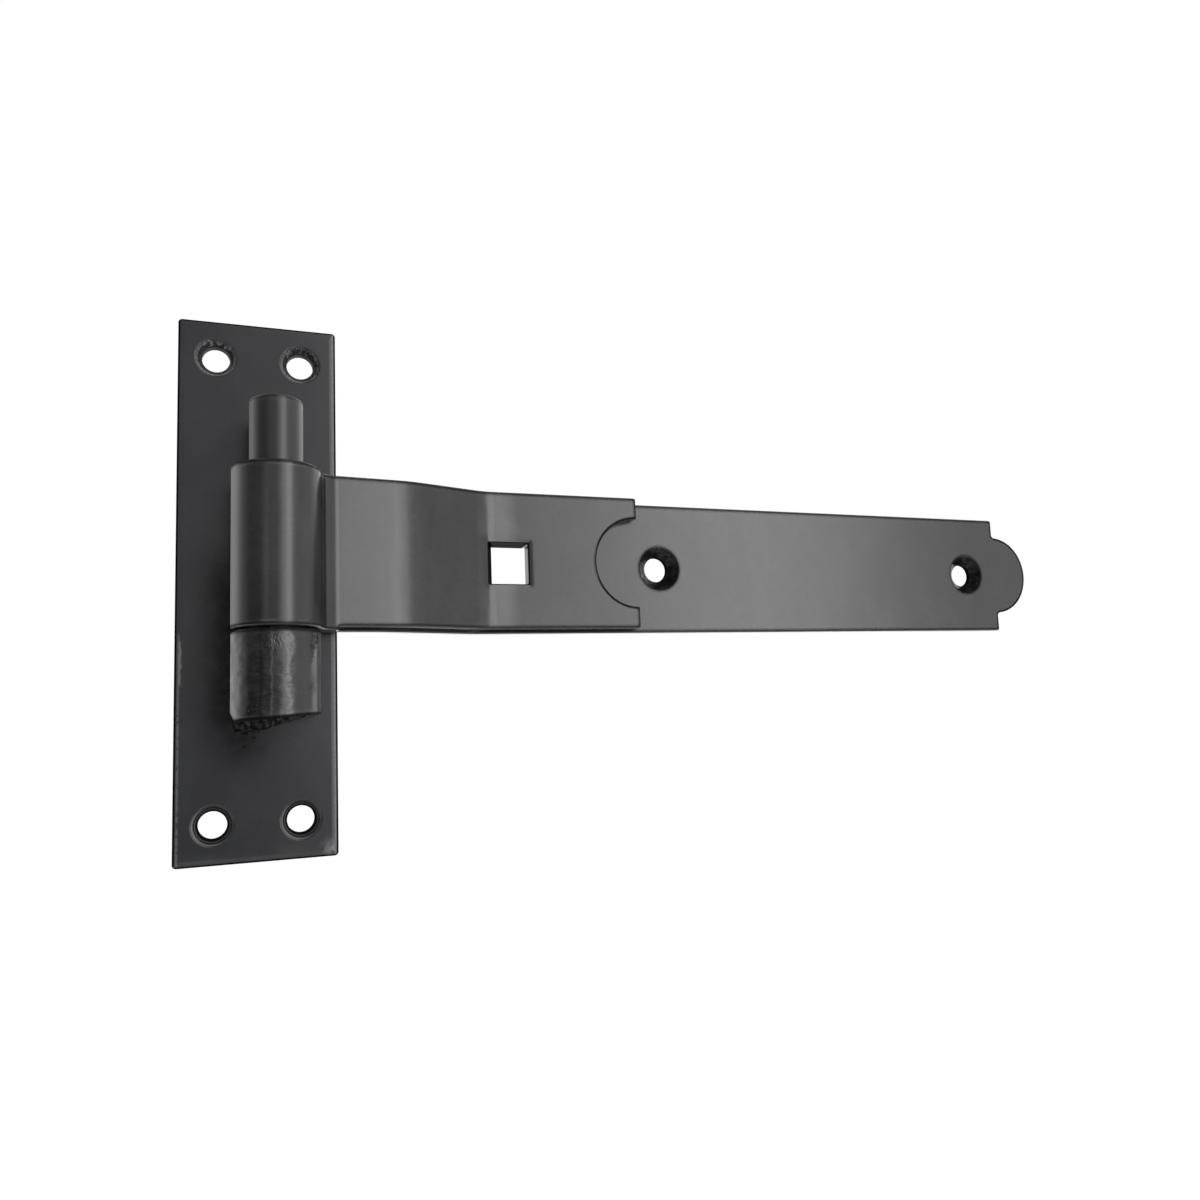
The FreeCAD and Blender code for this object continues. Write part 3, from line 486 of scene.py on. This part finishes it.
def strip_coat():
    """Rolled strip: its relief, painted shade in its holes, nicked rims, and a line of painted highlight
    along the eye.
    """
    coat = Coat("band_black_coat")
    beside = abs(coat.x - SQUARE_ACROSS) - SQUARE_SIDE / 2
    above = abs(coat.z - BAND_MIDDLE) - SQUARE_SIDE / 2
    off_square = length(beside.most(0.0), above.most(0.0))
    barrel = 1 - length(coat.x - PIN_X, coat.y - PIN_Y).ramp(*EYE_FADE)
    height = strip_relief(coat, off_square, barrel)

    first, second = (length(coat.x - across, coat.z - BAND_MIDDLE) for across in GATE_SCREWS)
    away = first.least(second)
    # Painted shade in dull black in the gate screws' bores and countersinks
    bore = 1 - away.ramp(GATE_BORE + 0.05, GATE_BORE + 0.3)
    cone = (1 - away.ramp(GATE_RIM - 0.4, GATE_RIM)) * (coat.patches(0.6, 0.35, 0.60) * 0.3 + 0.55)
    nicks = away.within(GATE_RIM - 0.9, GATE_RIM + 0.2, soft=0.3) * coat.patches(0.7, 0.60, 0.66)

    # The square hole's right wall is painted light; its other walls and its rim get painted shade
    right_end = SQUARE_ACROSS + SQUARE_SIDE / 2
    on_wall = coat.x.within(right_end - 0.25, right_end + 0.25, soft=0.1) * (1 - above.ramp(-0.2, 0.0))
    lit_wall = on_wall * coat.y.within(*LIT_WALL_SPAN, soft=0.3)
    square_line = (1 - off_square.ramp(0.2, 0.5)) * (1 - lit_wall) * 0.95

    band_half = (band_high.z - band_low.z) / MM / 2
    edge_gap = band_half - abs(coat.z - (band_high.z + band_low.z) / MM / 2)
    # A grey line of painted highlight along the eye's rims
    highlight_line = edge_gap.near(1.5, reach=0.25) * barrel * coat.patches(0.22, 0.42, 0.62)
    clouds = coat.streaks((0.10, 0.10, 0.04), detail=3.0).ramp(-0.3, 0.3)
    mottle = coat.patches(0.45, 0.25, 0.75) * 0.08 + clouds * 0.13
    # Grey here: mottling and nicks of the coat, a painted highlight line, and the painted light of the wall
    greyed = mottle.most(nicks * 0.7).most(highlight_line * 0.8).most(lit_wall)
    colour = coat.blend(greyed, coat.paint(DEEP_BLACK, BLACK), GREY_BLACK)
    roughness = coat.noise(coat.place, scale=0.25, detail=3.0) * 0.06 + barrel * 0.04 + 0.21

    hidden = bore.most(cone * (1 - nicks)).most(square_line)
    # Where the painted dark outline runs on the band
    ends_of_eye = 1 - edge_gap.ramp(1.6, 2.6)
    outline = ends_of_eye.most(coat.x.ramp(*OUTLINE_START)) * off_square.ramp(1.2, 2.2) * 0.95
    return coat.finish(colour, roughness, height, outline=outline, hidden=hidden)


def weld_coat():
    """Weld metal under paint: dull, with craters and patches of painted shade in dull black."""
    coat = Coat("weld_black_coat")
    craters = coat.noise(coat.place, scale=1.1, detail=5.0, roughness=0.7) * 0.9
    roughness = coat.noise(coat.place, scale=1.0, detail=3.0) * 0.2 + 0.36
    # Patches of painted shade in dull black, for the dark of the craters
    crater_shade = coat.patches(0.7, 0.36, 0.62) * 0.9
    return coat.finish(coat.paint(), roughness, craters, rounding=0.1, outline=0.0, hidden=crater_shade)


def new_piece(name, points, faces, material):
    """Make a smooth mesh at the origin that rides on the hook."""
    mesh = bpy.data.meshes.new(name)
    mesh.from_pydata(points.tolist(), [], faces)
    mesh.polygons.foreach_set("use_smooth", np.ones(len(mesh.polygons), bool))
    mesh.materials.append(material)
    piece = bpy.data.objects.new(name, mesh)
    bpy.context.scene.collection.objects.link(piece)
    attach(piece, "hook")
    return piece


def tube_faces(rows, columns):
    """Faces of a tube of closed rings, with a fan to a pole point at each end.

    The points are the rings one after another, then the first pole and the last pole.
    """
    row, column = np.meshgrid(np.arange(rows - 1), np.arange(columns), indexing="ij")
    after = (column + 1) % columns
    sides = np.stack([row * columns + column, (row + 1) * columns + column,
                      (row + 1) * columns + after, row * columns + after], axis=-1).reshape(-1, 4)
    ring = np.arange(columns)
    turned = (ring + 1) % columns
    pole = rows * columns
    last = (rows - 1) * columns
    start = np.stack([np.full(columns, pole), ring, turned], axis=1)
    end = np.stack([np.full(columns, pole + 1), last + turned, last + ring], axis=1)
    return [*sides.tolist(), *start.tolist(), *end.tolist()]


def smooth_noise(points, scale, seed, waves=18):
    """Sum of sine waves in scattered directions: smooth, and from about -1 to 1."""
    draw = np.random.default_rng(seed)
    ways = draw.normal(size=(waves, 3))
    ways *= (scale * draw.uniform(0.6, 1.6, waves) / np.linalg.norm(ways, axis=1))[:, None]
    phases = draw.uniform(0, 2 * math.pi, waves)
    return np.sin(points @ ways.T + phases).sum(axis=1) / math.sqrt(waves * 2)


def weld_run(material):
    """The rough bead in the corner under the knuckle.

    u runs along the corner and v round a section about the corner line. The radius is the
    bead's size times a taper, plus large lumps, small lumps and a slight ripple for each dip
    of the rod. The section closes through the corner, inside the steel.
    """
    rows, columns = 170, 44
    widest, drop, dips = 4.3, 3.3, 8
    lump_scale, lump_seed, lump_share = 0.9, 5, 0.20
    grit_scale, grit_seed, grit_share = 3.4, 6, 0.07
    spine_radius = 3
    u = np.linspace(0, 1, rows)[:, None]
    v = np.linspace(0, 1, columns, endpoint=False)[None, :]
    start = bead_low.x + 1.8 * MM
    across = start + (bead_high.x - start) * u + 0 * v
    foot = knuckle_low.z + (bead_high.z - knuckle_low.z) * u
    angle = 2 * math.pi * v
    ends = np.clip(np.minimum(u * 14, (1 - u) * 9), 0, 1) ** 0.5
    size = (widest - drop * np.clip((u - 0.3) / 0.6, 0, 1) ** 0.8) * MM * ends
    ripple = 1 + 0.05 * np.sin(u * 2 * math.pi * dips) * np.sin(angle / 2)
    spine = np.stack([across / MM, spine_radius * np.cos(angle) + 0 * u,
                      spine_radius * np.sin(angle) + 0 * u], axis=-1)
    lumps = smooth_noise(spine.reshape(-1, 3), lump_scale, lump_seed).reshape(rows, columns)
    grit = smooth_noise(spine.reshape(-1, 3), grit_scale, grit_seed).reshape(rows, columns)
    radius = size * (ripple + lump_share * lumps + grit_share * grit)
    points = np.stack([across, plate_front + 0.2 * MM + radius * np.cos(angle),
                       foot + radius * np.sin(angle)], axis=-1)
    points[..., 0] = np.clip(points[..., 0], bead_low.x, bead_high.x)
    points[..., 1] = np.clip(points[..., 1], bead_low.y - 0.4 * MM, plate_front + 0.6 * MM)
    points[..., 2] = np.minimum(points[..., 2], foot + 0.5 * MM)
    poles = [points[0].mean(axis=0), points[-1].mean(axis=0)]
    flat = np.vstack([points.reshape(-1, 3), poles])
    return new_piece("weld_run", flat, tube_faces(rows, columns), material)


def weld_spatter(material):
    """Grains of weld metal stuck to the plate left of the knuckle and under the bead.

    Each grain is a dome: a sphere of its own radius, its centre on the plate's face.
    """
    beside_count, under_count = 16, 12
    smallest, largest = 0.10, 0.30
    draw = np.random.default_rng(11)
    beside = np.stack([draw.normal(-9.3, 1.0, beside_count),
                       draw.uniform(-38.0, -18.0, beside_count)], axis=1)
    under = np.stack([draw.uniform(-8.0, 12.0, under_count),
                      draw.normal(-49.5, 1.6, under_count)], axis=1)
    spots = np.vstack([beside, under]) * MM
    sizes = draw.uniform(smallest, largest, len(spots)) * MM
    rows, columns = 9, 12
    rise = np.linspace(0, math.pi, rows + 2)[1:-1, None]
    turn = np.linspace(0, 2 * math.pi, columns, endpoint=False)[None, :]
    ball = np.stack([np.sin(rise) * np.cos(turn), np.sin(rise) * np.sin(turn),
                     np.cos(rise) + 0 * turn], axis=-1).reshape(-1, 3)
    ball = np.vstack([ball, [(0, 0, 1), (0, 0, -1)]])
    centres = np.stack([spots[:, 0], np.full(len(spots), plate_front), spots[:, 1]], axis=1)
    points = (centres[:, None, :] + ball[None, :, :] * sizes[:, None, None]).reshape(-1, 3)
    one = tube_faces(rows, columns)
    faces = [[corner + grain * len(ball) for corner in face] for grain in range(len(spots)) for face in one]
    return new_piece("weld_spatter", points, faces, material)


def white_floor():
    """A pale floor below the hinge that keeps its shadow."""
    level, reach = -0.42, 1.6
    mesh = bpy.data.meshes.new("floor")
    corners = [(-reach, -reach, level), (reach, -reach, level), (reach, reach, level), (-reach, reach, level)]
    mesh.from_pydata(corners, [], [(0, 1, 2, 3)])
    floor = bpy.data.objects.new("floor", mesh)
    bpy.context.scene.collection.objects.link(floor)
    tree = Tree(bpy.data.materials.new("pale_floor"))
    matt = tree.node("ShaderNodeBsdfDiffuse", None, {"Color": (0.8, 0.8, 0.8, 1)})
    glow = tree.node("ShaderNodeEmission", None, {"Color": (1, 1, 1, 1), "Strength": 0.55})
    both = tree.node("ShaderNodeAddShader", None, {0: matt.outputs[0], 1: glow.outputs[0]})
    mixed = tree.node("ShaderNodeMixShader", None, {0: seen(tree), 1: matt.outputs[0], 2: both.outputs[0]})
    tree.node("ShaderNodeOutputMaterial", None, {"Surface": mixed.outputs[0]})
    mesh.materials.append(bpy.data.materials["pale_floor"])


def seen(tree):
    """1 for what the camera sees, straight or in gloss or glass."""
    path = tree.node("ShaderNodeLightPath").outputs
    camera, gloss, glass = (Value(tree, path[name]) for name in
                            ("Is Camera Ray", "Is Glossy Ray", "Is Transmission Ray"))
    return camera.most(gloss).most(glass)


# The room round the hinge, in bands of azimuth: the degrees where each starts and ends, 0 in
# front of the hinge and positive to its right, then how soft its sides are and how strong it is
SOFTBOX = ((4.5, 11.0, 2.5, 0.9), (10.8, 38.3, 2.5, 2.9), (23.5, 36.0, 2.5, 3.4))
SIDE_WALL = ((38.0, 46.0, 4.0, 0.2), (38.0, 88.0, 8.0, 0.7))
REAR_WALL = ((98.0, 135.0, 14.0, 1.3), (140.0, 178.0, 6.0, 1.0), (-160.0, -108.0, 14.0, 1.4))
WINDOW = ((-34.0, -23.0, 4.0, 1.15),)
DIM_WALL = ((-84.0, -36.0, 8.0, 0.55),)
DIM_FOOT = ((-80.0, -18.0, 3.0, 0.4),)
DIM_FRONT = ((-5.0, 6.0, 4.0, 0.10),)
DIM_SKIRTING = ((-50.0, 10.0, 8.0, 1.0),)
WALL_LIGHT, WALL_SEEN = 0.60, 0.32


def bands(azimuth, places):
    """Soft bands of azimuth added up."""
    return sum(azimuth.within(start, end, soft) * bright for start, end, soft, bright in places)


def studio():
    """A white room with one tall softbox to the front right and dimmer light behind.

    z is -1 straight down, 0 on the level and 1 straight up.
    """
    world = bpy.data.worlds.new("studio")
    bpy.context.scene.world = world
    tree = Tree(world)
    way = tree.node("ShaderNodeTexCoord").outputs["Generated"]
    x, y, z = tree.parts(way)
    azimuth = x.math("ARCTAN2", -y) * math.degrees(1.0)
    softbox = bands(azimuth, SOFTBOX) * z.within(-0.16, 0.85, soft=0.07)
    low = 1 - z.ramp(0.05, 0.11)
    window = bands(azimuth, WINDOW) * z.within(-0.1, 0.22, soft=0.04) * (1 - low * 0.6)
    dim = bands(azimuth, DIM_WALL) + bands(azimuth, DIM_FOOT) * low
    ceiling = z.ramp(0.55, 0.85) * 0.75
    skirting = z.within(-0.30, -0.03, soft=0.06) * (0.5 + z.ramp(-0.08, -0.14) * 0.25)
    skirting = skirting * bands(azimuth, DIM_SKIRTING)
    walls = (WALL_LIGHT + seen(tree) * WALL_SEEN) * (1 - dim) * (1 - ceiling) * (1 - skirting)
    walls = walls * (1 - bands(azimuth, DIM_FRONT))
    room = walls + softbox + window + bands(azimuth, SIDE_WALL) + bands(azimuth, REAR_WALL)
    camera = Value(tree, tree.node("ShaderNodeLightPath").outputs["Is Camera Ray"])
    strength = room * (1 - camera) + camera
    glow = tree.node("ShaderNodeBackground", None, {"Color": (1, 1, 1, 1), "Strength": strength})
    tree.node("ShaderNodeOutputWorld", None, {"Surface": glow.outputs[0]})


# The camera fitted to the photo: its place, its turn to the right, its tilt up and its roll in
# degrees, and its focal length in pixels of a picture this many pixels wide
CAMERA_PLACE = (-0.0091, -0.3273, -0.0448)
CAMERA_ANGLES = (21.26, 6.73, 2.26)
FOCAL_PIXELS, PICTURE_PIXELS = 965.1, 1200


def photo_camera():
    """The camera below and in front of the plate, turned towards the band."""
    turn, lift, roll = (math.radians(angle) for angle in CAMERA_ANGLES)
    lens = bpy.data.cameras.new("camera")
    lens.sensor_width = 36.0
    lens.lens = FOCAL_PIXELS * lens.sensor_width / PICTURE_PIXELS
    lens.clip_start = 0.01
    camera = bpy.data.objects.new("camera", lens)
    bpy.context.scene.collection.objects.link(camera)
    aim = Matrix.Rotation(-turn, 4, "Z") @ Matrix.Rotation(lift, 4, "X") @ Matrix.Rotation(roll, 4, "Y")
    stand_up = Matrix.Rotation(math.pi / 2, 4, "X")
    camera.matrix_world = Matrix.Translation(CAMERA_PLACE) @ aim @ stand_up
    bpy.context.scene.camera = camera


def dress(node, material):
    """Give a node of the frame its finish."""
    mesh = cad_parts[node].data
    mesh.materials.clear()
    mesh.materials.append(material)


dress("hook_plate", plate_coat())
dress("knuckle", knuckle_coat())
dress("pin", bar_coat())
dress("band", strip_coat())

weld = weld_coat()
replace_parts(weld_run(weld), "weld_bead")
weld_spatter(weld)

white_floor()
studio()
photo_camera()
bpy.context.scene.view_settings.view_transform = "Standard"
